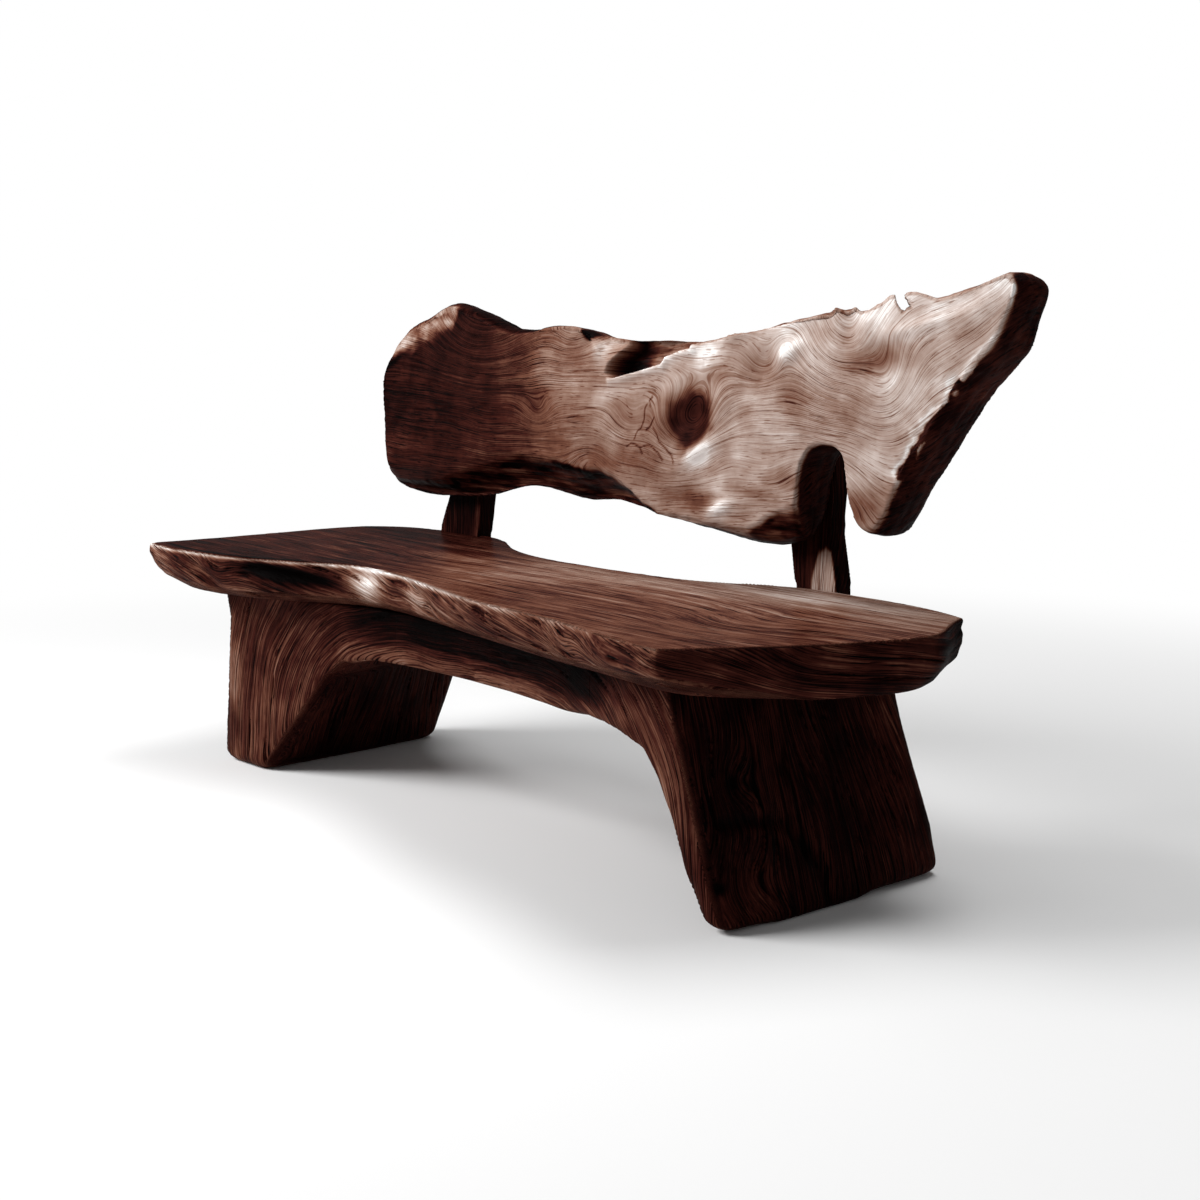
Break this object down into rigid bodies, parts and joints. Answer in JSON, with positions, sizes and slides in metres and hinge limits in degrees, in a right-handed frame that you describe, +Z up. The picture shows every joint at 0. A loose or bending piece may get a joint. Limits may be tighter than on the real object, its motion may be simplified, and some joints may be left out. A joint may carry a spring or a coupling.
{
  "type": "live edge bench",
  "caption": "Rustic wooden bench: a live edge slab seat on carved legs joined by a bridge beam, with a leaning live edge slab backrest held by posts.",
  "frame": {"origin": "on the floor, at the middle of the bench's length and depth", "axes": "+X along the bench to the right as seen from the front, +Y from the front to the back, +Z up"},
  "size_m": [1.7032, 0.6551, 0.9204],
  "materials": {
    "seat_wood": "oiled, worn at the front edge",
    "backrest_wood": "oiled, pale sapwood with dark heartwood",
    "base_wood": "dark stained, low sheen",
    "post_wood": "dark stained, low sheen",
    "tenon_wood": "bare",
    "fastener_steel": "blackened steel"
  },
  "bodies": {
    "root": {"backrest_slab": "backrest_wood", "bridge_beam": "base_wood", "left_back_post": "post_wood", "left_leg": "base_wood", "left_post_bolt_1": "fastener_steel", "left_post_bolt_1_washer": "fastener_steel", "left_post_bolt_2": "fastener_steel", "left_post_bolt_2_washer": "fastener_steel", "left_rest_bolt_1": "fastener_steel", "left_rest_bolt_1_washer": "fastener_steel", "left_rest_bolt_2": "fastener_steel", "left_rest_bolt_2_washer": "fastener_steel", "left_tenon": "tenon_wood", "right_back_post": "post_wood", "right_leg": "base_wood", "right_post_bolt_1": "fastener_steel", "right_post_bolt_1_washer": "fastener_steel", "right_post_bolt_2": "fastener_steel", "right_post_bolt_2_washer": "fastener_steel", "right_rest_bolt_1": "fastener_steel", "right_rest_bolt_1_washer": "fastener_steel", "right_rest_bolt_2": "fastener_steel", "right_rest_bolt_2_washer": "fastener_steel", "right_tenon": "tenon_wood", "seat_bolt_1": "fastener_steel", "seat_bolt_1_washer": "fastener_steel", "seat_bolt_2": "fastener_steel", "seat_bolt_2_washer": "fastener_steel", "seat_bolt_3": "fastener_steel", "seat_bolt_3_washer": "fastener_steel", "seat_bolt_4": "fastener_steel", "seat_bolt_4_washer": "fastener_steel", "seat_slab": "seat_wood"}
  },
  "joints": []
}
